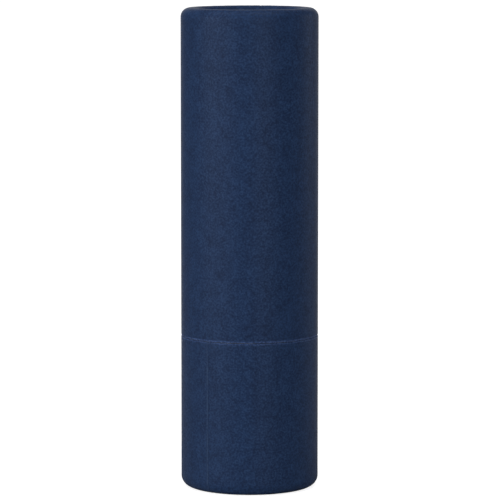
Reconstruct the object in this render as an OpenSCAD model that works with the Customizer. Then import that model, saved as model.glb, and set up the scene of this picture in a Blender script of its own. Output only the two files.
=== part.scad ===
// Twist-up lip balm stick in a two-part paper tube with rolled rims.
// Sizes are in millimetres. The stick stands on z = 0 and its axis is the Z axis.

/* [Tube] */
// Outside diameter of the paper tube
tube_d = 20; // [18.5:0.1:24]
// Height of the stick with its cap on
total_h = 70; // [60:0.5:84]
// Height of the turning base
base_h = 22.2; // [18:0.1:26]
// Open joint between the base and the mouth of the cap
mouth_gap = 0.1; // [0.05:0.05:0.5]
// Thickness of the wrap paper
wrap_t = 0.15; // [0.1:0.01:0.2]
// Wall of the board tube under the wrap
board_t = 0.85; // [0.6:0.05:0.95]
// Open width where the edges of a wrap meet
seam_w = 0.1; // [0.05:0.01:0.3]
// Direction of the joint in the base's wrap, in degrees from +X
base_seam_az = 232; // [0:1:359]
// Direction of the joint in the cap's wrap, in degrees from +X
cap_seam_az = 78; // [0:1:359]

/* [Rolled rims] */
// Outer radius of the roll at the top of the cap
cap_roll_r = 1.35; // [1.25:0.05:1.6]
// Width of the flat pressed on the cap's roll
cap_roll_flat = 0.3; // [0.1:0.05:0.8]
// Outer radius of the roll at the foot of the base
foot_roll_r = 1.55; // [1.25:0.05:1.8]
// Width of the flat pressed on the foot's roll
foot_roll_flat = 0.5; // [0.2:0.05:1]
// Straight tail of a roll, which presses on the end disc
roll_tail = 0.4; // [0.2:0.05:0.8]

/* [End discs] */
// Thickness of a board end disc
disc_t = 1; // [0.6:0.05:1.5]
// Thickness of the paper that faces an end disc
face_t = 0.15; // [0.1:0.01:0.3]

/* [Cap liner and base cup] */
// Wall of the sleeve inside the cap
liner_t = 0.8; // [0.6:0.05:1]
// Bevel inside the mouth of the sleeve
liner_bevel = 0.4; // [0.2:0.05:0.5]
// Wall of the cup inside the base
cup_t = 0.8; // [0.6:0.05:1]
// Floor of the cup inside the base
cup_floor_t = 1.2; // [1.1:0.05:1.6]
// Depth of the cup's edge below the mouth of the base
cup_drop = 0.5; // [0.2:0.05:0.6]

/* [Barrel] */
// Wall of the barrel
barrel_t = 1.1; // [0.9:0.05:1.3]
// Floor of the barrel, held between the flange and the snap bead
barrel_floor_t = 1.2; // [0.9:0.05:1.6]
// Radius of the barrel's rounded lip
lip_r = 0.45; // [0.2:0.05:0.45]
// Width of a guide rib in the bore
guide_w = 1.2; // [0.8:0.05:1.6]
// Depth of a guide rib in the bore
guide_d = 0.5; // [0.3:0.05:0.7]
// Number of grip ribs on the neck
grip_n = 6; // [3:1:10]
// Width of a grip rib
grip_w = 0.8; // [0.5:0.05:1.2]
// Length of a grip rib
grip_l = 6; // [3:0.5:9]
// Height of the grip ribs above the neck's surface
grip_proud = 0.06; // [0.03:0.01:0.08]
// Distance from the collar to the grip ribs
grip_rise = 2; // [1:0.5:4]

/* [Screw] */
// Outside diameter of the screw
screw_d = 5; // [4.6:0.1:5.6]
// Diameter between the threads
screw_core_d = 3.4; // [2.8:0.1:3.8]
// Rise of the two-start thread in one turn
lead = 4; // [3:0.25:6]
// Diameter of the journal that the barrel turns on
journal_d = 5.9; // [5.7:0.1:6.6]
// Diameter of the flange under the barrel
flange_d = 12; // [9:0.5:14]
// Thickness of the flange
flange_t = 1; // [0.8:0.05:1.4]
// Reach of the snap bead beyond the journal
bead_lip = 0.4; // [0.3:0.05:0.5]
// Height of the snap bead
bead_h = 0.5; // [0.4:0.05:0.8]
// Size of the six-sided drive boss across its corners
boss_d = 7; // [6:0.1:9]
// Height of the drive boss
boss_h = 0.8; // [0.6:0.05:0.9]
// Distance from the screw's tip to the barrel's rim
tip_drop = 0.5; // [0.2:0.05:1]

/* [Elevator and balm] */
// Thickness of the platform under the balm
platform_t = 1.2; // [0.8:0.05:1.6]
// Diameter of the hub that holds the nut
hub_d = 8; // [7.2:0.1:9]
// Length of the hub
hub_l = 4; // [3:0.1:5]
// Height of the ring that holds the balm
holder_h = 1.8; // [1:0.1:3]
// Wall of the ring that holds the balm
holder_t = 0.5; // [0.4:0.05:0.7]
// Thickness of the anchor fins in the balm
fin_t = 0.6; // [0.4:0.05:1]
// Height of the anchor fins
fin_h = 1.4; // [0.6:0.1:1.6]
// Cover left between the raised ring and the barrel's rim
rim_cover = 0.2; // [0.1:0.05:1]
// Height of the balm above the barrel's rim
balm_proud = 0.6; // [0.4:0.05:1.2]
// Radius of the balm's top edge
balm_edge_r = 1.4; // [0.6:0.1:2]
// Rise of the balm's crown inside that edge
balm_crown = 0.3; // [0.1:0.05:0.6]
// Free height over the fully raised balm with the cap on
top_clear = 1; // [0.4:0.05:2]

/* [Clearances] */
// Radial clearance of parts that turn or slide in each other
run_gap = 0.1; // [0.09:0.005:0.1]
// Radial clearance of the journal in the barrel's floor
journal_gap = 0.05; // [0.03:0.01:0.1]
// Clearance along the axis between stacked parts
axial_gap = 0.1; // [0.05:0.01:0.15]
// Radial clearance of the thread in the nut
thread_gap = 0.12; // [0.1:0.01:0.16]
// Clearance of the drive boss in its socket
drive_gap = 0.03; // [0.02:0.01:0.06]
// Clearance over the screw's tip in the balm
tip_gap = 0.3; // [0.1:0.05:0.4]

/* [Hidden] */
$fn = 96;

// Radii, from the outside of the tube inwards
tube_r = tube_d / 2;
wall_t = wrap_t + board_t;
shell_r = tube_r - wall_t;
liner_in_r = shell_r - liner_t;
cup_in_r = shell_r - cup_t;
neck_r = liner_in_r - run_gap;
skirt_r = cup_in_r - run_gap;
collar_r = shell_r - run_gap;
bore_r = min(neck_r, skirt_r) - barrel_t;
carrier_r = bore_r - run_gap;
journal_r = journal_d / 2;
screw_r = screw_d / 2;
screw_core_r = screw_core_d / 2;

// Heights of the base and the mechanism, from the foot upwards
foot_face_z = foot_roll_r + roll_tail;
foot_disc_z = foot_face_z + face_t;
cup_z = foot_disc_z + disc_t;
cup_top_z = base_h - cup_drop;
flange_z = cup_z + cup_floor_t;
barrel_z = flange_z + flange_t + axial_gap;
bore_z = barrel_z + barrel_floor_t;
bead_z = bore_z + axial_gap;
thread_z = bead_z + bead_h;
elevator_z = thread_z + axial_gap;
seat_z = elevator_z + platform_t;
holder_z = seat_z + holder_h;
collar_z = cup_top_z + axial_gap;
cap_z = base_h + mouth_gap;

// Heights of the closed end, from the top downwards
cap_face_z = total_h - cap_roll_r - roll_tail;
cap_disc_top_z = cap_face_z - face_t;
cap_disc_z = cap_disc_top_z - disc_t;

// The raised balm fills the cap up to its clearance, which sets the travel
travel = (cap_disc_z - top_clear - balm_proud - rim_cover - holder_z) / 2;
rim_z = holder_z + travel + rim_cover;
balm_top_z = rim_z + balm_proud;
tip_z = rim_z - tip_drop;

// Thread faceting: corners round the screw, and steps in one turn
thread_sides = 12;
thread_steps = 20;
// Depth to which the thread's root and the ribs run into what carries them
root = 0.3;

navy = [0.16, 0.215, 0.32];
board_grey = [0.55, 0.58, 0.64];
white_pp = [0.93, 0.93, 0.91];
balm_cream = [0.94, 0.90, 0.78];

// One layer of a rolled wall, between two depths below its outside, as a half section.
// Its mouth is at y = 0 and the crest of its roll at y = h.
module rolled_layer(h, roll_r, flat_w, depth_out, depth_in) {
    layer_t = depth_in - depth_out;
    arc_x = tube_r - roll_r;
    turn_x = arc_x - flat_w;
    arc_y = h - roll_r;
    translate([tube_r - depth_in, 0])
        square([layer_t, arc_y]);
    translate([arc_x, arc_y])
        quarter_ring(roll_r - depth_out, roll_r - depth_in);
    translate([turn_x, h - depth_in])
        square([flat_w, layer_t]);
    translate([turn_x, arc_y])
        mirror([1, 0])
            quarter_ring(roll_r - depth_out, roll_r - depth_in);
    translate([turn_x - roll_r + depth_out, arc_y - roll_tail])
        square([layer_t, roll_tail]);
}

module quarter_ring(r_out, r_in) {
    intersection() {
        difference() {
            circle(r_out);
            circle(r_in);
        }
        square(r_out);
    }
}

// Section of a layer of the cap
module cap_layer(depth_out, depth_in) {
    translate([0, cap_z])
        rolled_layer(total_h - cap_z, cap_roll_r, cap_roll_flat, depth_out, depth_in);
}

// Section of a layer of the base, with its roll at the foot
module base_layer(depth_out, depth_in) {
    translate([0, base_h])
        mirror([0, 1])
            rolled_layer(base_h, foot_roll_r, foot_roll_flat, depth_out, depth_in);
}

// Turns a section into a wrap whose edges leave an open joint at the direction az
module wrapped(az) {
    joint_angle = seam_w / (PI * tube_d) * 360;
    rotate([0, 0, az + joint_angle / 2])
        rotate_extrude(angle = 360 - joint_angle)
            children();
}

module ring(r_out, r_in, h) {
    difference() {
        cylinder(h = h, r = r_out);
        translate([0, 0, -h])
            cylinder(h = 3 * h, r = r_in);
    }
}

// Outline of the two-start thread, grown for the nut by its clearance
function thread_outline(grow) = [
    for (i = [0 : thread_sides - 1])
        let (a = 360 * i / thread_sides)
        let (lobe = (1 + cos(2 * a)) / 2)
        (screw_core_r + (screw_r - screw_core_r) * lobe + grow) * [cos(a), sin(a)]
];

// Left-hand thread between two heights, always in phase with the screw
module thread(z_low, z_high, grow) {
    h = z_high - z_low;
    translate([0, 0, z_low])
        rotate([0, 0, -360 * (z_low - thread_z) / lead])
            linear_extrude(height = h, twist = 360 * h / lead, slices = ceil(h / lead * thread_steps),
                    $fn = thread_sides)
                polygon(thread_outline(grow));
}

// Both guide ribs, or the slots for them when grown by a clearance
module guides(z_low, z_high, grow) {
    for (side = [0, 180])
        rotate([0, 0, side])
            translate([bore_r - guide_d - grow, -guide_w / 2 - grow, z_low])
                cube([guide_d + grow + root, guide_w + 2 * grow, z_high - z_low]);
}

module cap_wrap() {
    color(navy)
        wrapped(cap_seam_az)
            cap_layer(0, wrap_t);
}

module cap_board_tube() {
    color(board_grey)
        rotate_extrude()
            cap_layer(wrap_t, wall_t);
}

module cap_end_face() {
    color(navy)
        translate([0, 0, cap_disc_top_z])
            cylinder(h = face_t, r = shell_r);
}

module cap_end_disc() {
    color(board_grey)
        translate([0, 0, cap_disc_z])
            cylinder(h = disc_t, r = shell_r);
}

module cap_liner() {
    color(white_pp)
        difference() {
            translate([0, 0, cap_z])
                ring(shell_r, liner_in_r, cap_disc_z - cap_z);
            translate([0, 0, cap_z])
                cylinder(h = liner_bevel, r1 = liner_in_r + liner_bevel, r2 = liner_in_r);
        }
}

module base_wrap() {
    color(navy)
        wrapped(base_seam_az)
            base_layer(0, wrap_t);
}

module base_board_tube() {
    color(board_grey)
        rotate_extrude()
            base_layer(wrap_t, wall_t);
}

module base_end_face() {
    color(navy)
        translate([0, 0, foot_face_z])
            cylinder(h = face_t, r = shell_r);
}

module base_end_disc() {
    color(board_grey)
        translate([0, 0, foot_disc_z])
            cylinder(h = disc_t, r = shell_r);
}

module base_cup() {
    color(white_pp)
        difference() {
            translate([0, 0, cup_z])
                cylinder(h = cup_top_z - cup_z, r = shell_r);
            translate([0, 0, flange_z])
                cylinder(h = cup_top_z, r = cup_in_r);
            translate([0, 0, flange_z - boss_h - axial_gap])
                cylinder(h = cup_top_z, d = boss_d + 2 * drive_gap, $fn = 6);
        }
}

module spindle() {
    color(white_pp) {
        translate([0, 0, flange_z - boss_h])
            cylinder(h = boss_h + root, d = boss_d, $fn = 6);
        translate([0, 0, flange_z])
            cylinder(h = flange_t, d = flange_d);
        translate([0, 0, flange_z])
            cylinder(h = thread_z - flange_z, r = journal_r);
        translate([0, 0, bead_z])
            cylinder(h = bead_h, r1 = journal_r + bead_lip, r2 = journal_r);
        thread(thread_z - root, tip_z, 0);
    }
}

module barrel_section() {
    difference() {
        union() {
            translate([0, barrel_z])
                square([skirt_r, cap_z - barrel_z]);
            translate([0, collar_z])
                square([collar_r, cap_z - collar_z]);
            translate([0, collar_z])
                square([neck_r, rim_z - lip_r - collar_z]);
            translate([0, collar_z])
                square([neck_r - lip_r, rim_z - collar_z]);
            translate([neck_r - lip_r, rim_z - lip_r])
                circle(lip_r);
        }
        translate([0, bore_z])
            square([bore_r, rim_z]);
        square([journal_r + journal_gap, rim_z]);
    }
}

module barrel() {
    color(white_pp) {
        rotate_extrude()
            barrel_section();
        guides(bore_z - root, rim_z - lip_r, 0);
        intersection() {
            translate([0, 0, cap_z + grip_rise])
                ring(neck_r + grip_proud, bore_r, grip_l);
            for (i = [0 : grip_n - 1])
                rotate([0, 0, 360 * (i + 0.5) / grip_n])
                    translate([bore_r, -grip_w / 2, cap_z])
                        cube([barrel_t + neck_r, grip_w, grip_rise + grip_l]);
        }
    }
}

// Fins that stand on the platform between the hub and the ring, and hold the balm
module anchor_fins() {
    for (side = [45 : 90 : 315])
        rotate([0, 0, side])
            translate([hub_d / 2 - root, -fin_t / 2, seat_z - root])
                cube([carrier_r - holder_t - hub_d / 2 + root, fin_t, fin_h + root]);
}

module elevator() {
    color(white_pp)
        difference() {
            union() {
                translate([0, 0, elevator_z])
                    cylinder(h = platform_t, r = carrier_r);
                translate([0, 0, elevator_z])
                    cylinder(h = hub_l, d = hub_d);
                translate([0, 0, elevator_z])
                    ring(carrier_r, carrier_r - holder_t, platform_t + holder_h);
                anchor_fins();
            }
            guides(0, rim_z, run_gap);
            thread(elevator_z - root, elevator_z + hub_l + root, thread_gap);
        }
}

module balm_section() {
    edge_x = carrier_r - balm_edge_r;
    edge_z = balm_top_z - balm_crown;
    crown_r = (edge_x * edge_x + balm_crown * balm_crown) / (2 * balm_crown);
    translate([0, seat_z])
        square([carrier_r - holder_t, holder_h]);
    translate([0, holder_z])
        square([carrier_r, edge_z - balm_edge_r - holder_z]);
    translate([0, holder_z])
        square([edge_x, edge_z - holder_z]);
    translate([edge_x, edge_z - balm_edge_r])
        circle(balm_edge_r);
    intersection() {
        translate([0, balm_top_z - crown_r])
            circle(crown_r, $fn = 4 * $fn);
        translate([0, holder_z])
            square([edge_x, balm_top_z - holder_z]);
    }
}

module balm() {
    color(balm_cream)
        difference() {
            rotate_extrude()
                balm_section();
            translate([0, 0, elevator_z])
                cylinder(h = hub_l, d = hub_d);
            cylinder(h = tip_z + tip_gap, r = screw_r + thread_gap);
            anchor_fins();
            guides(0, rim_z + balm_top_z, run_gap);
        }
}

cap_wrap();
cap_board_tube();
cap_end_face();
cap_end_disc();
cap_liner();
base_wrap();
base_board_tube();
base_end_face();
base_end_disc();
base_cup();
spindle();
barrel();
elevator();
balm();
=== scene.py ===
"""Twist-up lip balm stick in a rolled paper tube, dressed for a plain studio picture.

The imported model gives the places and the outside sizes. Sizes in this file are in
millimetres unless a name or comment says otherwise, and MM turns them into the metres
that Blender works in. The tube's axis is Z and the viewer stands on the -Y side.
"""

import logging
import math
import random
import sys
from collections.abc import Callable, Sequence
from dataclasses import dataclass
from enum import Enum

import bpy
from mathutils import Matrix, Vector

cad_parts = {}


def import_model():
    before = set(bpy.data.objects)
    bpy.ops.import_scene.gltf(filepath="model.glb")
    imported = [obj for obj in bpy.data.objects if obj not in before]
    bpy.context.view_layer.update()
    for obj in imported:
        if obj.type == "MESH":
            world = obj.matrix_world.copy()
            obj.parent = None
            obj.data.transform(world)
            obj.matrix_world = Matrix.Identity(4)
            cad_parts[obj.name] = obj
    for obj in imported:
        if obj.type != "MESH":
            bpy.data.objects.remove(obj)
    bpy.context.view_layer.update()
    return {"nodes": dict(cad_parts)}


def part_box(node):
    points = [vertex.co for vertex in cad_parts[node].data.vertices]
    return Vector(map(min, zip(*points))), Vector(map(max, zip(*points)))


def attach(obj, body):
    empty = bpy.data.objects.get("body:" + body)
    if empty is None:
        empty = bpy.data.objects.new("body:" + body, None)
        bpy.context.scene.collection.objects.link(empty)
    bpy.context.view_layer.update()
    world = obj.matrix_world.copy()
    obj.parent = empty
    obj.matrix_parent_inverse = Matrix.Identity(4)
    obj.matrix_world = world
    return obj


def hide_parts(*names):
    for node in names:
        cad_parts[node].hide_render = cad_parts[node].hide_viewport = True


MM = 0.001
# How near, in metres, two vertices are merged.
WELD = 1e-7
FULL_TURN = 2.0 * math.pi
# Where the barrel's guide ribs and the balm's slots for them stand, in degrees from +X.
GUIDE_SIDES = (0.0, 180.0)
LOG = logging.getLogger("lip_balm_stick")

Point = tuple[float, float]
Span = tuple[float, float]
Colour = tuple[float, float, float, float]
Piece = bpy.types.Object
Material = bpy.types.Material
Tree = bpy.types.NodeTree
Socket = bpy.types.NodeSocket
Rule = Callable[[Vector, int], float]


def colour(hex_code: str) -> Colour:
    """Turns an sRGB colour such as "#1D2E4D" into the linear colour of a shader socket.

    Args:
        hex_code: The colour as a designer writes it.

    Returns:
        Linear red, green and blue, and an alpha of 1.
    """
    levels = [int(hex_code[i : i + 2], 16) / 255.0 for i in (1, 3, 5)]
    red, green, blue = (
        v / 12.92 if v <= 0.04045 else ((v + 0.055) / 1.055) ** 2.4 for v in levels
    )
    return (red, green, blue, 1.0)


def ease(share: float) -> float:
    """Turns a share from 0 to 1 into one that starts and ends gently."""
    held = max(0.0, min(1.0, share))
    return held * held * (3.0 - 2.0 * held)


def arc(centre: Point, radius: float, start: float, end: float, steps: int) -> list[Point]:
    """Points along an arc of a half section.

    Args:
        centre: The arc's centre as (distance from the axis, height).
        radius: The arc's radius.
        start: First angle in degrees, from the outward direction towards up.
        end: Last angle in degrees.
        steps: How many chords stand for the arc.

    Returns:
        The points, both ends included.
    """
    angles = [math.radians(start + (end - start) * i / steps) for i in range(steps + 1)]
    return [(centre[0] + radius * math.cos(a), centre[1] + radius * math.sin(a)) for a in angles]


def add_node(
    tree: Tree, kind: str, sockets: dict[str | int, object] | None = None, **settings: object
) -> bpy.types.Node:
    """Adds a node with its settings, socket values and links.

    Args:
        tree: The node tree to add to.
        kind: The node's type, such as "ShaderNodeTexNoise".
        sockets: Values for the inputs by name or number. An output socket is linked.
        **settings: Properties of the node.

    Returns:
        The new node.
    """
    node = tree.nodes.new(kind)
    for name, value in settings.items():
        setattr(node, name, value)
    for key, value in (sockets or {}).items():
        if isinstance(value, bpy.types.NodeSocket):
            tree.links.new(value, node.inputs[key])
        else:
            node.inputs[key].default_value = value
    return node


def new_material(name: str) -> tuple[Material, Tree]:
    """Makes an empty node material.

    Args:
        name: The material's name.

    Returns:
        The material and its node tree.
    """
    material = bpy.data.materials.new(name)
    material.use_nodes = True
    material.node_tree.nodes.clear()
    return material, material.node_tree


def patterns(tree: Tree, detail: float, *sizes: float) -> list[Socket]:
    """Adds soft noise patterns that lie still on a piece.

    Args:
        tree: The material's node tree.
        detail: How many times each pattern breaks into finer ones.
        *sizes: The width of the spots of each pattern.

    Returns:
        The patterns, each from 0 to 1, in the order of their sizes.
    """
    spot = add_node(tree, "ShaderNodeTexCoord").outputs["Object"]
    return [
        add_node(
            tree,
            "ShaderNodeTexNoise",
            {"Vector": spot, "Scale": 1.0 / (size * MM), "Detail": detail},
        ).outputs["Fac"]
        for size in sizes
    ]


def coat(
    tree: Tree, grain: Socket, depth: float, relief: float, sockets: dict[str | int, object]
) -> None:
    """Ends a material with its fine relief and its shader.

    Args:
        tree: The material's node tree.
        grain: The pattern that stands up.
        depth: How far it stands up.
        relief: How strongly it is felt, from 0 to 1.
        sockets: The shader's own values and links.
    """
    bump = add_node(
        tree, "ShaderNodeBump", {"Height": grain, "Distance": depth * MM, "Strength": relief}
    )
    surface = add_node(
        tree, "ShaderNodeBsdfPrincipled", {"Normal": bump.outputs["Normal"], **sockets}
    )
    add_node(tree, "ShaderNodeOutputMaterial", {"Surface": surface.outputs["BSDF"]})


class Bench:
    """The modelling steps, done in edit mode as they are by hand."""

    @staticmethod
    def clear() -> None:
        """Leaves edit mode and deselects every object."""
        active = bpy.context.view_layer.objects.active
        if active is not None and active.mode != "OBJECT":
            bpy.ops.object.mode_set(mode="OBJECT")
        bpy.ops.object.select_all(action="DESELECT")

    @staticmethod
    def pick(piece: Piece) -> None:
        """Makes one object the selected and active one."""
        Bench.clear()
        piece.select_set(True)
        bpy.context.view_layer.objects.active = piece

    @staticmethod
    def open_up(piece: Piece) -> None:
        """Enters edit mode on a piece with all of it selected."""
        Bench.pick(piece)
        bpy.ops.object.mode_set(mode="EDIT")
        bpy.ops.mesh.select_all(action="SELECT")

    @staticmethod
    def section(name: str, points: Sequence[Point], closed: bool = False) -> Piece:
        """Draws a half section by extruding one vertex from point to point.

        Args:
            name: The new object's name.
            points: The section's points as (distance from the axis, height).
            closed: Whether the last point is joined to the first.

        Returns:
            The object, which holds only edges.
        """
        Bench.clear()
        bpy.ops.mesh.primitive_plane_add(size=MM)
        piece = bpy.context.object
        piece.name = name
        piece.data.name = name
        route = list(points) + [points[0]] * closed
        bpy.ops.object.mode_set(mode="EDIT")
        bpy.ops.mesh.merge(type="CENTER")
        bpy.ops.transform.translate(value=(route[0][0] * MM, 0.0, route[0][1] * MM))
        for here, there in zip(route, route[1:]):
            step = ((there[0] - here[0]) * MM, 0.0, (there[1] - here[1]) * MM)
            bpy.ops.mesh.extrude_vertices_move(TRANSFORM_OT_translate={"value": step})
        if closed:
            bpy.ops.mesh.select_all(action="SELECT")
            bpy.ops.mesh.remove_doubles(threshold=WELD)
        bpy.ops.object.mode_set(mode="OBJECT")
        return piece

    @staticmethod
    def spin(piece: Piece, steps: int, angle: float = FULL_TURN) -> None:
        """Spins a half section about the tube's axis and points its faces outwards.

        Args:
            piece: The object that holds the section.
            steps: How many steps the spin takes.
            angle: The angle of the spin in radians.
        """
        Bench.open_up(piece)
        bpy.ops.mesh.spin(steps=steps, angle=angle, center=(0, 0, 0), axis=(0, 0, 1))
        bpy.ops.mesh.select_all(action="SELECT")
        bpy.ops.mesh.remove_doubles(threshold=WELD)
        bpy.ops.mesh.normals_make_consistent(inside=False)
        bpy.ops.object.mode_set(mode="OBJECT")

    @staticmethod
    def turn(piece: Piece, degrees: float) -> None:
        """Turns a piece about the tube's axis and puts its place into its mesh."""
        Bench.pick(piece)
        bpy.ops.object.transform_apply(location=True, rotation=True, scale=True)
        piece.rotation_euler.z = math.radians(degrees)
        bpy.ops.object.transform_apply(location=True, rotation=True, scale=True)

    @staticmethod
    def weigh(piece: Piece, group: str, rule: Rule) -> None:
        """Paints a vertex group by a rule.

        Args:
            piece: The object to paint.
            group: The vertex group's name.
            rule: Gives the weight of a vertex from its place and its number.
        """
        painted = piece.vertex_groups.new(name=group)
        for vertex in piece.data.vertices:
            weight = rule(vertex.co, vertex.index)
            if weight > 0.0:
                painted.add([vertex.index], min(weight, 1.0), "REPLACE")

    @staticmethod
    def modify(piece: Piece, kind: str, **settings: object) -> None:
        """Adds a modifier with its settings and applies it."""
        Bench.pick(piece)
        modifier = piece.modifiers.new(kind.lower(), kind)
        for name, value in settings.items():
            setattr(modifier, name, value)
        bpy.ops.object.modifier_apply(modifier=modifier.name)

    @staticmethod
    def push(piece: Piece, group: str, distance: float) -> None:
        """Pushes part of a piece outwards by a distance, or inwards if it is negative."""
        Bench.modify(
            piece, "DISPLACE", vertex_group=group, mid_level=0.0, strength=distance * MM
        )

    @staticmethod
    def roughen(piece: Piece, group: str, size: float, depth: float) -> None:
        """Gives part of a piece a gentle uneven surface that never stands proud.

        Args:
            piece: The object to shape.
            group: The vertex group that the unevenness is limited to.
            size: Width of the hollows.
            depth: Depth of the hollows.
        """
        pattern = bpy.data.textures.new(f"{piece.name}_{group}", "CLOUDS")
        pattern.noise_scale = size * MM
        Bench.modify(
            piece,
            "DISPLACE",
            texture=pattern,
            texture_coords="LOCAL",
            vertex_group=group,
            mid_level=1.0,
            strength=depth * MM,
        )

    @staticmethod
    def bevel(piece: Piece, width: float, degrees: float, segments: int = 2) -> None:
        """Rounds the edges that are sharper than an angle.

        Args:
            piece: The object to round.
            width: Width of the rounding.
            degrees: The angle in degrees.
            segments: How many faces go round an edge.
        """
        Bench.modify(
            piece,
            "BEVEL",
            width=width * MM,
            segments=segments,
            limit_method="ANGLE",
            angle_limit=math.radians(degrees),
        )

    @staticmethod
    def fuse(piece: Piece, other: Piece, operation: str = "UNION") -> None:
        """Adds another solid to a piece, or cuts it away, and deletes the other one."""
        Bench.modify(piece, "BOOLEAN", operation=operation, solver="EXACT", object=other)
        bpy.data.objects.remove(other)

    @staticmethod
    def fuse_blocks(
        piece: Piece,
        low: Vector,
        high: Vector,
        edge: float,
        turns: Sequence[float],
        operation: str = "UNION",
    ) -> None:
        """Fuses blocks with rounded edges to a piece, or cuts them away, round its axis.

        Args:
            piece: The piece.
            low: A block's lowest corner, on the +X side.
            high: Its highest corner.
            edge: Width of its rounding.
            turns: The angles in degrees that the blocks stand at.
            operation: "UNION" or "DIFFERENCE".
        """
        for degrees in turns:
            Bench.clear()
            bpy.ops.mesh.primitive_cube_add(
                size=1.0, location=(low + high) / 2.0 * MM, scale=(high - low) * MM
            )
            block = bpy.context.object
            bpy.ops.object.transform_apply(location=True, rotation=True, scale=True)
            Bench.bevel(block, edge, degrees=60.0, segments=3)
            Bench.turn(block, degrees)
            Bench.fuse(piece, block, operation)

    @staticmethod
    def smooth(piece: Piece, degrees: float = 35.0) -> None:
        """Shades a piece smooth, apart from its sharp edges."""
        Bench.pick(piece)
        bpy.ops.object.shade_smooth_by_angle(angle=math.radians(degrees))

    @staticmethod
    def dress(piece: Piece, finish: Material, degrees: float = 35.0) -> None:
        """Gives a whole piece one finish and shades it smooth."""
        piece.data.materials.clear()
        piece.data.materials.append(finish)
        Bench.smooth(piece, degrees)


@dataclass(frozen=True)
class PaleRing:
    """A ring round the tube painted paler, as rubbing and painted highlight."""

    height: float
    reach: float
    amount: float


@dataclass(frozen=True)
class WrapPaper:
    """Uncoated, dyed wrap paper, wound on a tube and rubbed down.

    It is matt, with a faint cloudy mottling from the felt side of the sheet and fine
    fibres that catch the light. Its crests and cut mouths are painted a little paler:
    rubbing and painted highlight at the crests, painted highlight at the mouths.
    The fibres are drawn some ten times as thick as real ones, so that they show.
    """

    name: str
    pale_rings: tuple[PaleRing, ...] = ()
    deep: str = "#162541"
    face: str = "#1D3050"
    pale: str = "#253B5E"
    # Paler colour painted on the rings: rubbing and part of a painted highlight at the crest, a
    # painted highlight at the cut mouth.
    worn_and_highlight: str = "#566DA2"
    deep_at: float = 0.36
    face_at: float = 0.5
    pale_at: float = 0.64
    mottle_size: float = 1.6
    mottle_share: float = 0.25
    fibre_size: float = 0.26
    fibre_span: Span = (0.3, 0.7)
    detail: float = 3.0
    roughness: float = 0.5
    roughness_change: float = 0.06
    specular: float = 0.1
    depth: float = 0.012
    relief: float = 0.5
    standing_span: Span = (0.4, 0.6)
    lying_paling: float = 0.2

    def build(self) -> Material:
        """Makes the material."""
        material, tree = new_material(self.name)
        mottle, fibre = patterns(tree, self.detail, self.mottle_size, self.fibre_size)
        blend = add_node(
            tree, "ShaderNodeMix", {"Factor": self.mottle_share, "A": fibre, "B": mottle}
        )
        ramp = add_node(tree, "ShaderNodeValToRGB", {"Fac": blend.outputs["Result"]})
        first, last = ramp.color_ramp.elements
        first.position, first.color = self.deep_at, colour(self.deep)
        last.position, last.color = self.pale_at, colour(self.pale)
        ramp.color_ramp.elements.new(self.face_at).color = colour(self.face)
        tint = ramp.outputs["Color"]
        for pale_ring in self.pale_rings:
            tint = self.pale_ring_tint(tree, fibre, tint, pale_ring)
        rough = add_node(
            tree,
            "ShaderNodeMapRange",
            {
                "Value": fibre,
                "From Min": self.fibre_span[0],
                "From Max": self.fibre_span[1],
                "To Min": self.roughness + self.roughness_change,
                "To Max": self.roughness - self.roughness_change,
            },
        )
        finish = {
            "Base Color": tint,
            "Roughness": rough.outputs["Result"],
            "Specular IOR Level": self.specular,
        }
        coat(tree, fibre, self.depth, self.relief, finish)
        return material

    def pale_ring_tint(self, tree: Tree, fibre: Socket, tint: Socket, pale_ring: PaleRing) -> Socket:
        """Paints one ring paler where the fibres stand up, as rubbing and painted highlight.

        Args:
            tree: The material's node tree.
            fibre: The fibre pattern.
            tint: The colour before the ring is painted.
            pale_ring: The ring.

        Returns:
            The colour with the ring painted on.
        """
        spot = add_node(tree, "ShaderNodeTexCoord").outputs["Object"]
        height = add_node(tree, "ShaderNodeSeparateXYZ", {"Vector": spot}).outputs["Z"]
        away = add_node(
            tree, "ShaderNodeMath", {0: height, 1: pale_ring.height * MM}, operation="SUBTRACT"
        )
        gap = add_node(tree, "ShaderNodeMath", {0: away.outputs[0]}, operation="ABSOLUTE")
        reach, most = pale_ring.reach * MM, pale_ring.amount
        nearness = add_node(
            tree,
            "ShaderNodeMapRange",
            {"Value": gap.outputs[0], "From Max": reach, "To Min": most, "To Max": 0.0},
        )
        low, high = self.standing_span
        standing = add_node(
            tree,
            "ShaderNodeMapRange",
            {"Value": fibre, "From Min": low, "From Max": high, "To Min": self.lying_paling},
        )
        amount = add_node(
            tree,
            "ShaderNodeMath",
            {0: nearness.outputs["Result"], 1: standing.outputs["Result"]},
            operation="MULTIPLY",
        )
        mixed = add_node(
            tree,
            "ShaderNodeMix",
            {"Factor": amount.outputs[0], 6: tint, 7: colour(self.worn_and_highlight)},
            data_type="RGBA",
        )
        return mixed.outputs[2]


@dataclass(frozen=True)
class RawFibre:
    """Bare fibre of two tones, rough and matt."""

    name: str
    deep: str
    pale: str
    deep_at: float
    pale_at: float
    fibre_size: float
    detail: float
    depth: float
    relief: float
    roughness: float
    specular: float

    def build(self) -> Material:
        """Makes the material."""
        material, tree = new_material(self.name)
        (fibre,) = patterns(tree, self.detail, self.fibre_size)
        ramp = add_node(tree, "ShaderNodeValToRGB", {"Fac": fibre})
        first, last = ramp.color_ramp.elements
        first.position, first.color = self.deep_at, colour(self.deep)
        last.position, last.color = self.pale_at, colour(self.pale)
        finish = {
            "Base Color": ramp.outputs["Color"],
            "Roughness": self.roughness,
            "Specular IOR Level": self.specular,
        }
        coat(tree, fibre, self.depth, self.relief, finish)
        return material


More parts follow.
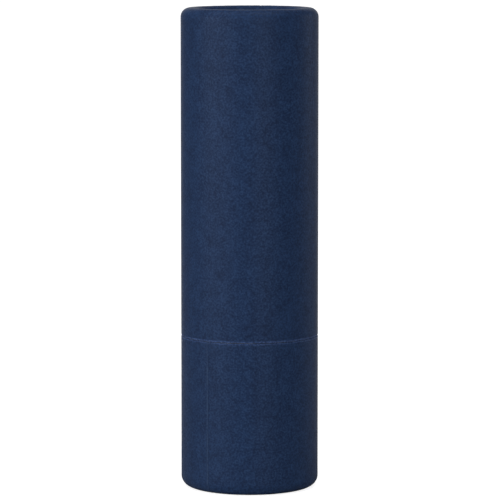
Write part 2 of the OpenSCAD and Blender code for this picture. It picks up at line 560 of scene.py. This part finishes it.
@dataclass(frozen=True)
class PaperEdgeAndLapHighlight(RawFibre):
    """The wrap's cut, rubbed edge with paler fibres, also painted along its lap as a highlight.
    """

    deep: str = "#213150"
    pale: str = "#2F415E"
    deep_at: float = 0.35
    pale_at: float = 0.65
    fibre_size: float = 0.3
    detail: float = 3.0
    depth: float = 0.02
    relief: float = 0.6
    roughness: float = 0.7
    specular: float = 0.1


@dataclass(frozen=True)
class TubeBoard(RawFibre):
    """Grey board of recycled fibre, seen at its cut edges and inside the tube.

    It is rough and matt, with flecks of darker fibre in a soft, uneven grey.
    """

    deep: str = "#55637E"
    pale: str = "#7B8BA8"
    deep_at: float = 0.38
    pale_at: float = 0.56
    fibre_size: float = 0.16
    detail: float = 5.0
    depth: float = 0.02
    relief: float = 0.8
    roughness: float = 0.88
    specular: float = 0.2


@dataclass(frozen=True)
class PaleSolid:
    """A pale solid that light enters a little way, with a cloudy tone and gloss."""

    name: str
    face: str
    cloud: str
    cloud_size: float
    grain_size: float
    detail: float
    depth: float
    relief: float
    roughness: Span
    glow: float
    glow_depth: float
    glow_tint: tuple[float, float, float]
    ior: float

    def build(self) -> Material:
        """Makes the material."""
        material, tree = new_material(self.name)
        cloud, grain = patterns(tree, self.detail, self.cloud_size, self.grain_size)
        tint = add_node(
            tree,
            "ShaderNodeMix",
            {"Factor": cloud, 6: colour(self.face), 7: colour(self.cloud)},
            data_type="RGBA",
        )
        rough = add_node(
            tree,
            "ShaderNodeMapRange",
            {"Value": cloud, "To Min": self.roughness[0], "To Max": self.roughness[1]},
        )
        finish = {
            "Base Color": tint.outputs[2],
            "Roughness": rough.outputs["Result"],
            "Subsurface Weight": self.glow,
            "Subsurface Radius": self.glow_tint,
            "Subsurface Scale": self.glow_depth * MM,
            "IOR": self.ior,
        }
        coat(tree, grain, self.depth, self.relief, finish)
        return material


@dataclass(frozen=True)
class Polypropylene(PaleSolid):
    """White injection-moulded polypropylene.

    It is satin and slightly waxy: light enters a little way, and the mould's fine spark
    texture softens the gloss.
    """

    face: str = "#EEEDE8"
    cloud: str = "#E4E4DF"
    cloud_size: float = 4.0
    grain_size: float = 0.12
    detail: float = 2.0
    depth: float = 0.004
    relief: float = 0.5
    roughness: Span = (0.31, 0.43)
    glow: float = 0.12
    glow_depth: float = 0.6
    glow_tint: tuple[float, float, float] = (1.0, 0.95, 0.85)
    ior: float = 1.49


@dataclass(frozen=True)
class CastBalm(PaleSolid):
    """Cast balm of beeswax and oils.

    It is cream, softly translucent and satin, with pale cloudy bloom and tiny pits.
    """

    face: str = "#F1E6C4"
    cloud: str = "#F8F1DC"
    cloud_size: float = 2.4
    grain_size: float = 0.35
    detail: float = 3.0
    depth: float = 0.02
    relief: float = 0.35
    roughness: Span = (0.3, 0.46)
    glow: float = 0.35
    glow_depth: float = 1.5
    glow_tint: tuple[float, float, float] = (1.0, 0.8, 0.5)
    ior: float = 1.44


class End(Enum):
    """Which end of the tube a shell closes. The value is the way from mouth to roll."""

    TOP = 1.0
    FOOT = -1.0


@dataclass
class RolledShell:
    """A paper shell: wrap paper over board plies, rolled inwards at its closed end.

    The wrap's outer edge lies at seam_az, in degrees from the +X side. The skived edge
    grows to the whole sheet over skive_deg. A share runs from 0 to 1.
    """

    label: str
    end: End
    roll_r: float
    roll_flat: float
    seam_az: float
    # How much the cut mouth is painted paler: a painted highlight along the joint.
    mouth_highlight: float
    roll_tail: float = 0.4
    tail_room: float = 0.1
    wrap_t: float = 0.15
    board_t: float = 0.85
    plies: int = 3
    ply_gap: float = 0.012
    lap_w: float = 4.0
    lap_gap: float = 0.01
    lap_step: float = 0.03
    press_lead_deg: float = 1.0
    skive_deg: float = 9.0
    mouth_lean: float = 0.14
    mouth_run: float = 0.2
    mouth_turns_deg: tuple[float, ...] = (15.0, 32.0, 48.0, 64.0, 80.0)
    mouth_jitter: float = 0.03
    jitter_share: Span = (0.3, 1.0)
    mouth_fray: float = 0.02
    mouth_highlight_reach: float = 0.3
    # How much the crest is painted paler: rubbing, and part of its painted highlight.
    crest_wear_and_highlight: float = 0.04
    crest_wear_and_highlight_reach: float = 0.5
    gather: float = 0.07
    gather_waves: int = 7
    gather_counts: tuple[int, int] = (18, 60)
    gather_share: Span = (0.4, 1.0)
    gather_growth: float = 1.5
    uneven_size: float = 2.2
    uneven_depth: float = 0.05
    steps_a_turn: int = 240
    wall_step: float = 1.2
    arc_steps: int = 10

    def __post_init__(self) -> None:
        """Takes the shell's outside sizes from its imported wrap."""
        low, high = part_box(f"{self.label}_wrap")
        top = self.end is End.TOP
        self.outer_r = round(max(high.x, high.y) / MM, 2)
        self.mouth_z = (low.z if top else high.z) / MM
        self.crest_z = (high.z if top else low.z) / MM
        self.height = abs(self.crest_z - self.mouth_z)
        self.wall_t = self.wrap_t + self.board_t
        self.tail_r = self.outer_r - 2.0 * self.roll_r - self.roll_flat
        self.lap_deg = math.degrees(self.lap_w / self.outer_r)

    def pale_rings(self) -> tuple[PaleRing, ...]:
        """The shell's painted paler rings, at its crest and at its mouth."""
        return (
            PaleRing(self.crest_z, self.crest_wear_and_highlight_reach, self.crest_wear_and_highlight),
            PaleRing(self.mouth_z, self.mouth_highlight_reach, self.mouth_highlight),
        )

    def path(self, depth: float, short: float = 0.0) -> list[Point]:
        """The line of the shell's section at a depth below its outside.

        Its cut mouth is rubbed round, so the line leans in there, the outer layers most.

        Args:
            depth: Distance below the outside surface.
            short: How far the line stops short of the mouth. It stands out if negative.

        Returns:
            Points from the mouth, over the roll, to the end of its tail.
        """
        rise = self.height - self.roll_r
        arc_x = self.outer_r - self.roll_r
        turn_x = arc_x - self.roll_flat
        radius = self.roll_r - depth
        wall_x = self.outer_r - depth
        lean = self.mouth_lean * (1.0 - depth / self.wall_t)
        wall_n = round(rise / self.wall_step)
        wall_h = rise - self.mouth_run
        turns = [math.radians(a) for a in self.mouth_turns_deg]
        line = [
            (wall_x - lean * (1.0 - math.sin(a)), short + self.mouth_run * (1.0 - math.cos(a)))
            for a in turns
        ]
        line += [(wall_x, self.mouth_run + wall_h * i / wall_n) for i in range(wall_n)]
        line += arc((arc_x, rise), radius, 0.0, 90.0, self.arc_steps)
        line += arc((turn_x, rise), radius, 90.0, 180.0, self.arc_steps)
        line.append((turn_x - radius, rise - self.roll_tail))
        return [(x, self.mouth_z + self.end.value * y) for x, y in line]

    def sheet(self, name: str, line: Sequence[Point], angle: float) -> Piece:
        """Spins a line into a single-walled sheet whose outside faces out.

        Args:
            name: The sheet's name.
            line: The line of its section.
            angle: The angle of the spin in radians.

        Returns:
            The sheet, which starts on the +X side.
        """
        piece = Bench.section(name, line)
        Bench.spin(piece, round(self.steps_a_turn * angle / FULL_TURN), angle)
        wall = max(piece.data.polygons, key=lambda face: face.center.xy.length)
        if wall.normal.xy.dot(wall.center.xy) < 0.0:
            Bench.open_up(piece)
            bpy.ops.mesh.flip_normals()
            bpy.ops.object.mode_set(mode="OBJECT")
        return piece

    def rolled(self, place: Vector) -> float:
        """How far over the roll a place lies: 0 on the wall, 1 at the end of its tail."""
        if abs(place.z / MM - self.crest_z) > self.roll_r + self.roll_tail + self.tail_room:
            return 0.0
        inward = (self.outer_r - place.xy.length / MM) / (2.0 * self.roll_r + self.roll_flat)
        return max(0.0, min(1.0, inward))

    def skived(self, degrees: float) -> float:
        """How thick the lapping edge is at an angle from it, as a share of the whole sheet.

        The edge is skived thin, so that the lap lies flush with the rest of the wrap.
        """
        thin = self.lap_step / self.wrap_t
        return thin + (1.0 - thin) * ease(degrees / self.skive_deg)

    def make_wrap(self, paper: Material, cut: Material) -> Piece:
        """Wraps the paper round the tube, so that its first edge laps over its last.

        Args:
            paper: The paper's face.
            cut: The paper's cut edge, also painted along the lap's edge as a highlight.

        Returns:
            The wrap as a closed sheet of the paper's thickness.
        """
        whole_deg = 360.0 + self.lap_deg
        line = self.path(0.0, -self.mouth_fray)
        piece = self.sheet(f"{self.label}_wrap_paper", line, math.radians(whole_deg))
        columns = len(piece.data.vertices) // len(line) - 1
        spacing = whole_deg / columns

        def along(index: int) -> float:
            """Degrees along the paper from its outer edge."""
            return whole_deg * (index // len(line)) / columns

        def under(_place: Vector, index: int) -> float:
            """How deep the paper lies under its own lap."""
            past = along(index) - 360.0
            return self.skived(past) if past > -spacing else 0.0

        def thick(_place: Vector, index: int) -> float:
            """How thick the paper is, as a share of the whole sheet."""
            return self.skived(along(index))

        Bench.weigh(piece, "under", under)
        Bench.weigh(piece, "thick", thick)
        Bench.push(piece, "under", -self.wrap_t - self.lap_gap)
        self.gather_roll(piece)
        # The first column of faces, along the lapping edge, takes the cut edge's paler finish: a
        # painted highlight along the lap's edge.
        for face in piece.data.polygons:
            face.material_index = int(min(face.vertices) < len(line))
        piece.data.materials.append(paper)
        piece.data.materials.append(cut)
        Bench.modify(
            piece,
            "SOLIDIFY",
            thickness=self.wrap_t * MM,
            offset=-1.0,
            vertex_group="thick",
            material_offset_rim=1,
        )
        Bench.turn(piece, self.seam_az)
        Bench.smooth(piece)
        return piece

    def gather_roll(self, piece: Piece) -> None:
        """Gathers the roll a little, as paper does when its edge is turned inwards.

        Args:
            piece: A single-walled sheet of the shell.
        """
        chance = random.Random(self.label)
        waves = [
            (
                chance.randint(*self.gather_counts),
                chance.uniform(0.0, FULL_TURN),
                chance.uniform(*self.gather_share),
            )
            for _ in range(self.gather_waves)
        ]
        whole = sum(size for _, _, size in waves)

        def pleat(place: Vector, _index: int) -> float:
            """Depth of the gathers, which grows towards the tail."""
            about = math.atan2(place.y, place.x)
            total = sum(size * math.cos(count * about + phase) for count, phase, size in waves)
            return self.rolled(place) ** self.gather_growth * (0.5 + 0.5 * total / whole)

        Bench.weigh(piece, "pleat", pleat)
        Bench.weigh(piece, "roll", lambda place, _index: self.rolled(place))
        Bench.push(piece, "pleat", -self.gather)
        Bench.roughen(piece, "roll", self.uneven_size, self.uneven_depth)

    def make_board(self, finish: Material) -> Piece:
        """Winds the board plies that the wrap covers.

        Args:
            finish: The board.

        Returns:
            The plies, joined into one piece.
        """
        chance = random.Random(self.label)
        ply_t = self.board_t / self.plies

        def pressed(place: Vector, _index: int) -> float:
            """How deep the board is pressed under the paper's lap, falling off after it."""
            about = math.degrees(math.atan2(place.y, place.x)) % 360.0
            if about > 360.0 - self.lap_deg:
                about -= 360.0
            fall = ease((self.lap_deg - about) / self.skive_deg + 1.0)
            return self.skived(about + self.press_lead_deg) * fall

        plies = []
        for i in range(self.plies):
            short = chance.uniform(*self.jitter_share) * self.mouth_jitter
            line = self.path(self.wrap_t + i * ply_t, short)
            ply = self.sheet(f"{self.label}_board_{i}", line, FULL_TURN)
            Bench.weigh(ply, "pressed", pressed)
            kept = 1.0 - i / self.plies
            Bench.push(ply, "pressed", -kept * (self.wrap_t + self.lap_gap))
            Bench.modify(ply, "SOLIDIFY", thickness=(ply_t - self.ply_gap) * MM, offset=-1.0)
            plies.append(ply)
        board = plies[0]
        Bench.pick(board)
        for ply in plies:
            ply.select_set(True)
        bpy.ops.object.join()
        board.name = f"{self.label}_board_plies"
        Bench.turn(board, self.seam_az)
        Bench.dress(board, finish)
        return board


@dataclass
class EndFace:
    """The paper that faces a recessed end disc, pressed down by the roll's tail."""

    label: str
    end: End
    tail_r: float
    bow: float = 0.1
    bow_rate: float = 2.5
    fall_w: float = 1.5
    uneven_size: float = 3.0
    uneven_depth: float = 0.03
    steps: int = 160
    rings: int = 16

    def build(self, finish: Material) -> Piece:
        """Makes the facing as a shallow dish.

        Args:
            finish: The paper.

        Returns:
            The facing as a closed sheet.
        """
        low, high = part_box(f"{self.label}_end_face")
        radius = high.x / MM
        shown_z, hidden_z = high.z / MM, low.z / MM
        if self.end is End.FOOT:
            shown_z, hidden_z = hidden_z, shown_z
        dish = [
            (
                self.tail_r * (1.0 - i / self.rings),
                shown_z - self.end.value * self.bow * ease(self.bow_rate * i / self.rings),
            )
            for i in range(self.rings + 1)
        ]
        line = [(0.0, hidden_z), (radius, hidden_z), (radius, shown_z)] + dish
        piece = Bench.section(f"{self.label}_end_paper", line)
        Bench.spin(piece, self.steps)

        def open_part(place: Vector, _index: int) -> float:
            """1 on the part that shows, falling off at the roll's tail."""
            near = abs(place.z / MM - shown_z) < abs(place.z / MM - hidden_z) + self.bow
            return ease((self.tail_r - place.xy.length / MM) / self.fall_w) if near else 0.0

        Bench.weigh(piece, "open_part", open_part)
        Bench.roughen(piece, "open_part", self.uneven_size, self.uneven_depth)
        Bench.dress(piece, finish)
        return piece


@dataclass
class Barrel:
    """The moulded tube that holds the balm, with its collar and ribs."""

    wall: float = 1.1
    collar_h: float = 0.5
    collar_w: float = 0.8
    lip_r: float = 0.45
    lip_steps: int = 6
    guide_w: float = 1.2
    guide_d: float = 0.5
    guide_foot: float = 0.4
    guide_edge: float = 0.15
    grip_n: int = 6
    grip_w: float = 0.8
    grip_l: float = 6.0
    grip_rise: float = 2.0
    grip_proud: float = 0.06
    grip_edge: float = 0.2
    rib_root: float = 0.5
    floor_t: float = 1.2
    hole_r: float = 3.0
    edge: float = 0.12
    steps: int = 192

    def build(self, finish: Material) -> Piece:
        """Moulds the barrel.

        Args:
            finish: The plastic.

        Returns:
            The barrel as one closed piece.
        """
        low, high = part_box("barrel")
        floor_z, rim_z = low.z / MM, high.z / MM
        collar_r = high.x / MM
        collar_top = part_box("cap_liner")[0].z / MM
        collar_z = collar_top - self.collar_h
        neck_r = collar_r - self.collar_w
        bore_r = neck_r - self.wall
        lip = (neck_r - self.lip_r, rim_z - self.lip_r)
        line = [
            (self.hole_r, floor_z),
            (neck_r, floor_z),
            (neck_r, collar_z),
            (collar_r, collar_z),
            (collar_r, collar_top),
            (neck_r, collar_top),
            *arc(lip, self.lip_r, 0.0, 90.0, self.lip_steps),
            (bore_r + self.edge, rim_z),
            (bore_r, rim_z - self.edge),
            (bore_r, floor_z + self.floor_t),
            (self.hole_r, floor_z + self.floor_t),
        ]
        piece = Bench.section("barrel_moulding", line, closed=True)
        Bench.spin(piece, self.steps)
        Bench.bevel(piece, self.edge, degrees=50.0, segments=3)
        grip_z = collar_top + self.grip_rise
        Bench.fuse_blocks(
            piece,
            Vector((neck_r - self.rib_root, -self.grip_w / 2.0, grip_z)),
            Vector((neck_r + self.grip_proud, self.grip_w / 2.0, grip_z + self.grip_l)),
            self.grip_edge,
            [360.0 * (i + 0.5) / self.grip_n for i in range(self.grip_n)],
        )
        guide_z = floor_z + self.floor_t - self.guide_foot
        Bench.fuse_blocks(
            piece,
            Vector((bore_r - self.guide_d, -self.guide_w / 2.0, guide_z)),
            Vector((bore_r + self.rib_root, self.guide_w / 2.0, rim_z - self.lip_r)),
            self.guide_edge,
            GUIDE_SIDES,
        )
        Bench.dress(piece, finish)
        return piece


@dataclass
class CapLiner:
    """The moulded sleeve inside the cap."""

    wall: float = 0.8
    lead_in: float = 0.4
    edge: float = 0.1
    steps: int = 192

    def build(self, finish: Material) -> Piece:
        """Moulds the sleeve.

        Args:
            finish: The plastic.

        Returns:
            The sleeve as one closed piece.
        """
        low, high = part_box("cap_liner")
        outer_r = high.x / MM
        inner_r = outer_r - self.wall
        line = [
            (outer_r, low.z / MM),
            (outer_r, high.z / MM),
            (inner_r, high.z / MM),
            (inner_r, low.z / MM + self.lead_in),
            (inner_r + self.lead_in, low.z / MM),
        ]
        piece = Bench.section("cap_liner_moulding", line, closed=True)
        Bench.spin(piece, self.steps)
        Bench.bevel(piece, self.edge, degrees=30.0)
        Bench.dress(piece, finish)
        return piece


@dataclass
class BalmStick:
    """The stick of balm, cast in the barrel over the elevator's ring and hub."""

    ring_h: float = 1.8
    ring_t: float = 0.5
    hub_r: float = 4.0
    hub_l: float = 4.0
    platform_t: float = 1.2
    screw_hole_r: float = 2.62
    skin: float = 0.8
    edge_r: float = 1.4
    edge_deg: float = 78.0
    edge_steps: int = 10
    crown: float = 0.3
    crown_power: float = 0.8
    dip: float = 0.22
    dip_share: float = 0.32
    slot_w: float = 1.4
    slot_r: float = 6.4
    slot_past: float = 2.0
    slot_edge: float = 0.15
    poured_h: float = 1.2
    ripple_size: float = 4.5
    ripple_depth: float = 0.16
    steps: int = 192
    wall_n: int = 24
    crown_n: int = 14

    def build(self, finish: Material) -> Piece:
        """Casts the stick.

        Args:
            finish: The balm.

        Returns:
            The stick as one closed piece.
        """
        low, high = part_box("balm")
        radius = high.y / MM
        seat_z, top_z = low.z / MM, high.z / MM
        edge_x = radius - self.edge_r
        edge_z = top_z - self.crown - self.edge_r
        ring_top = seat_z + self.ring_h
        hub_top = seat_z - self.platform_t + self.hub_l
        wall_h = edge_z - ring_top
        line = [
            (0.0, top_z - self.skin),
            (self.screw_hole_r, top_z - self.skin),
            (self.screw_hole_r, hub_top),
            (self.hub_r, hub_top),
            (self.hub_r, seat_z),
            (radius - self.ring_t, seat_z),
            (radius - self.ring_t, ring_top),
            *((radius, ring_top + wall_h * i / self.wall_n) for i in range(self.wall_n)),
            *arc((edge_x, edge_z), self.edge_r, 0.0, self.edge_deg, self.edge_steps),
        ]
        for i in range(1, self.crown_n + 1):
            share = 1.0 - i / self.crown_n
            dome = self.crown * math.cos(math.pi / 2.0 * share) ** self.crown_power
            dip = self.dip * math.exp(-((share / self.dip_share) ** 2))
            line.append((edge_x * share, top_z - self.crown + dome - dip))
        piece = Bench.section("balm_cast", line)
        Bench.spin(piece, self.steps)
        half_w, past = self.slot_w / 2.0, self.slot_past
        Bench.fuse_blocks(
            piece,
            Vector((self.slot_r, -half_w, seat_z - past)),
            Vector((self.slot_r + past, half_w, top_z + past)),
            self.slot_edge,
            GUIDE_SIDES,
            "DIFFERENCE",
        )

        def poured(place: Vector, _index: int) -> float:
            """1 on the poured top, falling off below it."""
            return 1.0 - (top_z - place.z / MM) / self.poured_h

        Bench.weigh(piece, "poured", poured)
        Bench.roughen(piece, "poured", self.ripple_size, self.ripple_depth)
        Bench.dress(piece, finish, degrees=40.0)
        return piece


@dataclass
class Spindle:
    """The screw that lifts the balm, with its drive boss, flange and snap bead."""

    core_r: float = 1.7
    crest_r: float = 2.5
    lead: float = 4.0
    boss_sides: int = 6
    boss_h: float = 0.8
    boss_r: float = 3.5
    boss_edge: float = 0.1
    flange_r: float = 6.0
    flange_t: float = 1.0
    journal_r: float = 2.95
    bead_lip: float = 0.4
    bead_h: float = 0.5
    floor_t: float = 1.2
    slack: float = 0.1
    root: float = 0.3
    edge: float = 0.08
    steps: int = 96
    screw_sides: int = 48
    rings_a_turn: int = 36

    def build(self, finish: Material) -> Piece:
        """Moulds the spindle.

        Args:
            finish: The plastic.

        Returns:
            The spindle as one closed piece.
        """
        low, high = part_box("spindle")
        low_z, tip_z = low.z / MM, high.z / MM
        flange_z = low_z + self.boss_h
        flange_top = flange_z + self.flange_t
        bead_z = flange_top + self.slack + self.floor_t + self.slack
        thread_z = bead_z + self.bead_h
        line = [
            (0.0, flange_z),
            (self.flange_r, flange_z),
            (self.flange_r, flange_top),
            (self.journal_r, flange_top),
            (self.journal_r, bead_z),
            (self.journal_r + self.bead_lip, bead_z),
            (self.journal_r, thread_z),
            (0.0, thread_z),
        ]
        piece = Bench.section("spindle_moulding", line)
        Bench.spin(piece, self.steps)
        Bench.bevel(piece, self.edge, degrees=40.0)
        Bench.fuse(piece, self.boss(low_z, flange_z + self.root))
        Bench.fuse(piece, self.screw(thread_z, tip_z))
        Bench.dress(piece, finish)
        return piece

    def boss(self, low_z: float, top_z: float) -> Piece:
        """Makes the six-sided boss that sits in the base cup's socket."""
        Bench.clear()
        bpy.ops.mesh.primitive_cylinder_add(
            vertices=self.boss_sides,
            radius=self.boss_r * MM,
            depth=(top_z - low_z) * MM,
            location=(0.0, 0.0, (low_z + top_z) / 2.0 * MM),
        )
        piece = bpy.context.object
        Bench.turn(piece, 180.0 / self.boss_sides)
        Bench.bevel(piece, self.boss_edge, degrees=30.0)
        return piece

    def screw(self, thread_z: float, tip_z: float) -> Piece:
        """Makes the two-start left-hand thread by twisting a lobed rod."""
        root_z = thread_z - self.root
        tall = tip_z - root_z
        rings = round(tall / self.lead * self.rings_a_turn)
        Bench.clear()
        bpy.ops.mesh.primitive_circle_add(
            vertices=self.screw_sides, radius=self.crest_r * MM, fill_type="NGON"
        )
        piece = bpy.context.object
        for vertex in piece.data.vertices:
            lobe = (1.0 + math.cos(2.0 * math.atan2(vertex.co.y, vertex.co.x))) / 2.0
            radius = self.core_r + (self.crest_r - self.core_r) * lobe
            vertex.co *= radius / self.crest_r
        Bench.open_up(piece)
        step = {"value": (0.0, 0.0, tall / rings * MM)}
        for _ in range(rings):
            bpy.ops.mesh.extrude_region_move(TRANSFORM_OT_translate=step)
        bpy.ops.mesh.select_all(action="SELECT")
        bpy.ops.mesh.normals_make_consistent(inside=False)
        bpy.ops.object.mode_set(mode="OBJECT")
        Bench.modify(
            piece,
            "SIMPLE_DEFORM",
            deform_method="TWIST",
            deform_axis="Z",
            angle=-FULL_TURN * tall / self.lead,
        )
        piece.location.z = root_z * MM
        Bench.turn(piece, 360.0 * self.root / self.lead)
        return piece


@dataclass(frozen=True)
class SoftBox:
    """One soft box of the studio.

    Its azimuth is in degrees from the viewer's side towards the right, its size is the
    angle that it fills, seen from the stick, its power is in watts, and its distance
    from the stick is in metres.
    """

    name: str
    azimuth: float
    elevation: float
    width_deg: float
    height_deg: float
    power: float
    away: float = 0.55

    def hang(self, aim: Vector) -> None:
        """Hangs the box so that it faces the stick.

        Args:
            aim: The point that it faces.
        """
        data = bpy.data.lights.new(self.name, "AREA")
        data.shape = "RECTANGLE"
        data.size = 2.0 * self.away * math.tan(math.radians(self.width_deg) / 2.0)
        data.size_y = 2.0 * self.away * math.tan(math.radians(self.height_deg) / 2.0)
        data.energy = self.power
        lamp = bpy.data.objects.new(self.name, data)
        bpy.context.scene.collection.objects.link(lamp)
        about, up = math.radians(self.azimuth), math.radians(self.elevation)
        level = math.cos(up)
        back = Vector((math.sin(about) * level, -math.cos(about) * level, math.sin(up)))
        lamp.location = aim + back * self.away
        lamp.rotation_euler = (-back).to_track_quat("-Z", "Y").to_euler()
        lamp.visible_camera = False


@dataclass
class Studio:
    """Camera, soft boxes, floor and surroundings. Its lengths are in metres."""

    camera_place: tuple[float, float, float] = (0.0, -0.4788, 0.0877)
    pitch_deg: float = 6.32
    lens: float = 237.8
    shift_x: float = 0.0008
    sight: Span = (0.01, 20.0)
    aim_z: float = 0.035
    floor_w: float = 6.0
    white: str = "#FFFFFF"
    table: str = "#BCBCBC"
    glow: float = 0.85
    given: float = 0.2
    near: float = 0.06
    far: float = 0.4
    sweep_full_deg: float = 12.0
    sweep_end_deg: float = 34.0
    sweep_flatness: float = 0.8
    boxes: tuple[SoftBox, ...] = (
        SoftBox("left_front_box", -40.0, 6.0, 14.0, 34.0, 0.85),
        SoftBox("left_side_box", -68.0, 10.0, 14.0, 34.0, 0.96),
        SoftBox("right_front_box", 22.0, 8.0, 14.0, 30.0, 0.8),
        SoftBox("right_back_box", 118.0, 8.0, 16.0, 30.0, 0.3),
        SoftBox("left_top_box", -75.0, 60.0, 12.0, 12.0, 0.65),
        SoftBox("right_top_box", 40.0, 70.0, 12.0, 12.0, 0.7),
    )

    def build(self) -> None:
        """Sets up the whole studio."""
        self.set_camera()
        self.set_floor()
        self.set_world()
        for box in self.boxes:
            box.hang(Vector((0.0, 0.0, self.aim_z)))

    def set_camera(self) -> None:
        """Puts the camera a little above the stick's top, looking slightly down."""
        data = bpy.data.cameras.new("camera")
        data.lens = self.lens
        data.shift_x = self.shift_x
        data.clip_start, data.clip_end = self.sight
        camera = bpy.data.objects.new("camera", data)
        bpy.context.scene.collection.objects.link(camera)
        camera.location = self.camera_place
        camera.rotation_euler = (math.radians(90.0 - self.pitch_deg), 0.0, 0.0)
        bpy.context.scene.camera = camera

    def backdrop(self, tree: Tree, outward: Socket) -> Socket:
        """How much of the white backdrop lies in a direction from the stick.

        The backdrop stands behind the stick, and the room on the viewer's side is dim.

        Args:
            tree: The node tree to add to.
            outward: A place or direction seen from the stick.

        Returns:
            A factor that is 1 straight behind the stick and 0 above it, beside it and in front.
        """
        flattened = add_node(
            tree,
            "ShaderNodeVectorMath",
            {0: outward, 1: (1.0, 1.0, self.sweep_flatness)},
            operation="MULTIPLY",
        )
        heading = add_node(
            tree, "ShaderNodeVectorMath", {0: flattened.outputs[0]}, operation="NORMALIZE"
        )
        behind = add_node(tree, "ShaderNodeSeparateXYZ", {"Vector": heading.outputs[0]})
        share = add_node(
            tree,
            "ShaderNodeMapRange",
            {
                "Value": behind.outputs["Y"],
                "From Min": math.cos(math.radians(self.sweep_end_deg)),
                "From Max": math.cos(math.radians(self.sweep_full_deg)),
            },
            interpolation_type="SMOOTHSTEP",
        )
        return share.outputs["Result"]

    def seen(self, tree: Tree, outward: Socket) -> Socket:
        """How white the surroundings show to a ray.

        Args:
            tree: The node tree to add to.
            outward: A place or direction seen from the stick.

        Returns:
            A factor that is 1 for what is seen directly or through something clear, and
            the backdrop's share for what is mirrored.
        """
        rays = add_node(tree, "ShaderNodeLightPath").outputs
        white = self.backdrop(tree, outward)
        for ray, operation in (
            ("Is Glossy Ray", "MULTIPLY"),
            ("Is Camera Ray", "MAXIMUM"),
            ("Is Transmission Ray", "MAXIMUM"),
        ):
            joined = add_node(
                tree, "ShaderNodeMath", {0: rays[ray], 1: white}, operation=operation
            )
            white = joined.outputs[0]
        return white

    def set_floor(self) -> None:
        """Lays a pale floor that shows white and keeps the stick's soft shadow."""
        Bench.clear()
        bpy.ops.mesh.primitive_plane_add(size=self.floor_w)
        floor = bpy.context.object
        floor.name = "floor"
        material, tree = new_material("white_studio_floor")
        place = add_node(tree, "ShaderNodeTexCoord").outputs["Object"]
        matt = add_node(tree, "ShaderNodeBsdfDiffuse", {"Color": colour(self.table)})
        away = add_node(tree, "ShaderNodeVectorMath", {0: place}, operation="LENGTH")
        strength = add_node(
            tree,
            "ShaderNodeMapRange",
            {
                "Value": away.outputs["Value"],
                "From Min": self.near,
                "From Max": self.far,
                "To Min": self.glow,
                "To Max": 1.0,
            },
        )
        glow = add_node(
            tree,
            "ShaderNodeEmission",
            {"Color": colour(self.white), "Strength": strength.outputs["Result"]},
        )
        lifted = add_node(
            tree, "ShaderNodeAddShader", {0: matt.outputs["BSDF"], 1: glow.outputs["Emission"]}
        )
        mixed = add_node(
            tree,
            "ShaderNodeMixShader",
            {0: self.seen(tree, place), 1: matt.outputs["BSDF"], 2: lifted.outputs["Shader"]},
        )
        add_node(tree, "ShaderNodeOutputMaterial", {"Surface": mixed.outputs["Shader"]})
        floor.data.materials.append(material)

    def set_world(self) -> None:
        """Surrounds the stick with white that is seen, and a softer light that it gives."""
        world = bpy.data.worlds.new("studio")
        bpy.context.scene.world = world
        world.use_nodes = True
        tree = world.node_tree
        tree.nodes.clear()
        outward = add_node(tree, "ShaderNodeTexCoord").outputs["Generated"]
        white = colour(self.white)
        shown = add_node(tree, "ShaderNodeBackground", {"Color": white, "Strength": 1.0})
        given = add_node(tree, "ShaderNodeBackground", {"Color": white, "Strength": self.given})
        mixed = add_node(
            tree,
            "ShaderNodeMixShader",
            {0: self.seen(tree, outward), 1: given.outputs[0], 2: shown.outputs[0]},
        )
        add_node(tree, "ShaderNodeOutputWorld", {"Surface": mixed.outputs["Shader"]})


def mount(piece: Piece, body: str, slot: str, *nodes: str) -> None:
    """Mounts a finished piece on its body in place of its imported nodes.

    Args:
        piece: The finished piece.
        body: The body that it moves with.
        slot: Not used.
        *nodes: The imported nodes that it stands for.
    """
    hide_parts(*nodes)
    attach(piece, body)
    LOG.info("%s: %d faces on %s", piece.name, len(piece.data.polygons), body)


def main() -> None:
    """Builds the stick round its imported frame, and the studio round the stick."""
    logging.basicConfig(level=logging.INFO, format="%(name)s: %(message)s", stream=sys.stdout)
    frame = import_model()
    bpy.context.scene.view_settings.view_transform = "Standard"
    Studio().build()

    board = TubeBoard("grey_tube_board").build()
    plastic = Polypropylene("white_polypropylene").build()
    balm_wax = CastBalm("cream_balm_wax").build()
    end_paper = WrapPaper("navy_end_paper").build()
    cut_edge_and_lap_highlight = PaperEdgeAndLapHighlight("navy_wrap_cut_edge_and_lap_highlight").build()
    # The mouth values paint a highlight along the joint between cap and base, stronger on the
    # cap.
    for shell in (
        RolledShell("cap", End.TOP, roll_r=1.35, roll_flat=0.3, seam_az=78.0, mouth_highlight=0.9),
        RolledShell("base", End.FOOT, roll_r=1.55, roll_flat=0.5, seam_az=233.3, mouth_highlight=0.35),
    ):
        body = shell.label
        paper = WrapPaper(f"navy_wrap_paper_{body}", pale_rings=shell.pale_rings()).build()
        mount(shell.make_wrap(paper, cut_edge_and_lap_highlight), body, "wrap_paper", f"{body}_wrap")
        mount(shell.make_board(board), body, "tube_board", f"{body}_board_tube")
        face = EndFace(body, shell.end, shell.tail_r).build(end_paper)
        mount(face, body, "face_paper", f"{body}_end_face")

    mount(CapLiner().build(plastic), "cap", "white_plastic", "cap_liner")
    mount(Barrel().build(plastic), "barrel", "white_plastic", "barrel")
    mount(BalmStick().build(balm_wax), "carrier", "balm_wax", "balm")
    mount(Spindle().build(plastic), "base", "white_plastic", "spindle")
    for finish, *nodes in (
        (plastic, "base_cup", "elevator"),
        (board, "cap_end_disc", "base_end_disc"),
    ):
        for node in nodes:
            slots = frame["nodes"][node].data.materials
            slots.clear()
            slots.append(finish)


if __name__ == "__main__":
    main()
